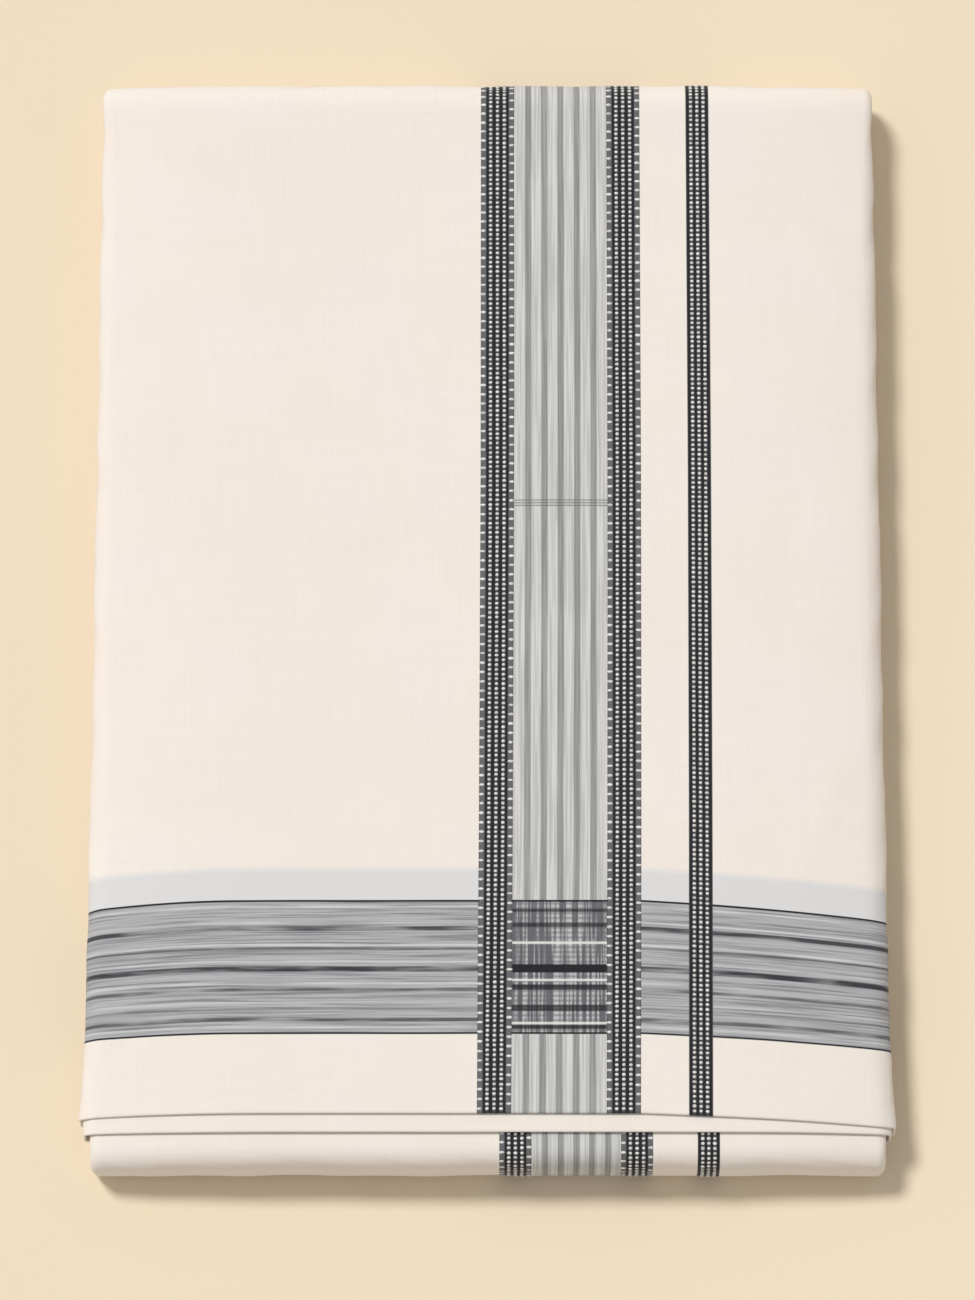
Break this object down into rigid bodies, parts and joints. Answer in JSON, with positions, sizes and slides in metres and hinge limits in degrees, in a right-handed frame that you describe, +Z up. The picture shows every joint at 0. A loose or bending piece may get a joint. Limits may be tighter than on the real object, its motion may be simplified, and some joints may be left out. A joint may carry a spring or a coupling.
{
  "type": "folded dhoti cloth",
  "caption": "Flat folded packet of cream cotton dhoti cloth with a striped and beaded border, a woven end band and a loose hem flap on top.",
  "frame": {"origin": "middle of the packet's box in plan, on the surface it rests on", "axes": "+X across the packet's width, +Y along its length from the hem flap at the front to the big fold at the back, +Z up"},
  "size_m": [0.246, 0.345, 0.024],
  "materials": {
    "cotton_border": "plain-woven matt cotton, cream with charcoal, grey and white woven borders",
    "cotton_plain": "plain-woven matt cotton, cream"
  },
  "bodies": {
    "root": {"top_flap": "cotton_border", "under_ply": "cotton_plain", "front_wrap": "cotton_border", "folded_core": "cotton_plain"}
  },
  "joints": []
}
